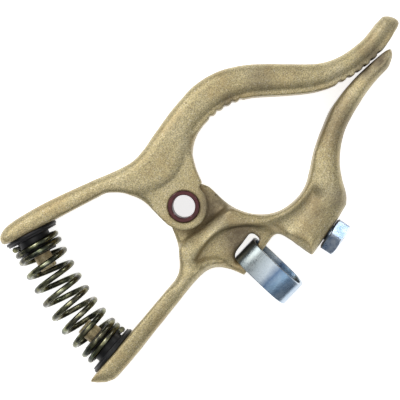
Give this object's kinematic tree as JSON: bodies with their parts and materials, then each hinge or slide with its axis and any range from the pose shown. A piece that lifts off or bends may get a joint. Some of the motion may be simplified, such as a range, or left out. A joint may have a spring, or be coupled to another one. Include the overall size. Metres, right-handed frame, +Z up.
{
  "type": "ground clamp",
  "caption": "Cast bronze spring clamp for a welding earth lead, with toothed jaws, a cable barrel with a clamping screw, and a strain-relief ring.",
  "frame": {"origin": "on the surface that the clamp lies on, under the middle of its bounding box", "axes": "+X runs to the jaw tips, +Y to the upper lever, +Z up from the surface, along the pivot"},
  "size_m": [0.217, 0.1084, 0.028],
  "materials": {
    "cast_bronze": "as-cast bronze, fine sandy grain, semi-matt",
    "zinc_plate": "bright zinc plate with a blue tint",
    "spring_chromate": "yellow chromate over zinc, olive and gold",
    "black_insulator": "moulded black, semi-matt",
    "pivot_red": "dark red coat on steel tube",
    "fibre": "red vulcanised fibre"
  },
  "bodies": {
    "lower_lever": {"lower_lever": "cast_bronze", "pivot_tube": "pivot_red", "pivot_washer_front": "fibre", "pivot_washer_back": "fibre", "spring_seat_lower": "black_insulator", "spring": "spring_chromate"},
    "upper_lever": {"upper_lever": "cast_bronze", "spring_seat_upper": "black_insulator"},
    "cable_ring": {"cable_ring": "zinc_plate"},
    "ball_point": {"ball_point": "zinc_plate"},
    "clamping_screw": {"clamping_screw": "zinc_plate"}
  },
  "joints": [
    {"name": "jaw_pivot", "type": "hinge", "parent": "lower_lever", "child": "upper_lever", "pos_m": [-0.02375, 0.0107, 0.014], "axis": [0, 0, 1], "range_deg": [0, 18], "stiffness_Nm_per_rad": 25, "springref_deg": -17.19, "deforming": ["spring"]},
    {"name": "ring_swing", "type": "hinge", "parent": "lower_lever", "child": "cable_ring", "pos_m": [-0.01308, -0.02365, 0.014], "axis": [0.9827, 0.1469, 0.1132], "range_deg": [-3, 3]},
    {"name": "ball_slide", "type": "slide", "parent": "lower_lever", "child": "ball_point", "axis": [0.309, -0.9511, 0], "range_m": [0, 0.0061]},
    {"name": "screw_turn", "type": "hinge", "parent": "ball_point", "child": "clamping_screw", "pos_m": [0.02205, -0.04098, 0.014], "axis": [0.309, -0.9511, 0], "range_deg": [0, 1440]}
  ],
  "couplings": [
    {"joint": "ball_slide", "follows": "screw_turn", "m_per_rad": 0.00023873}
  ]
}
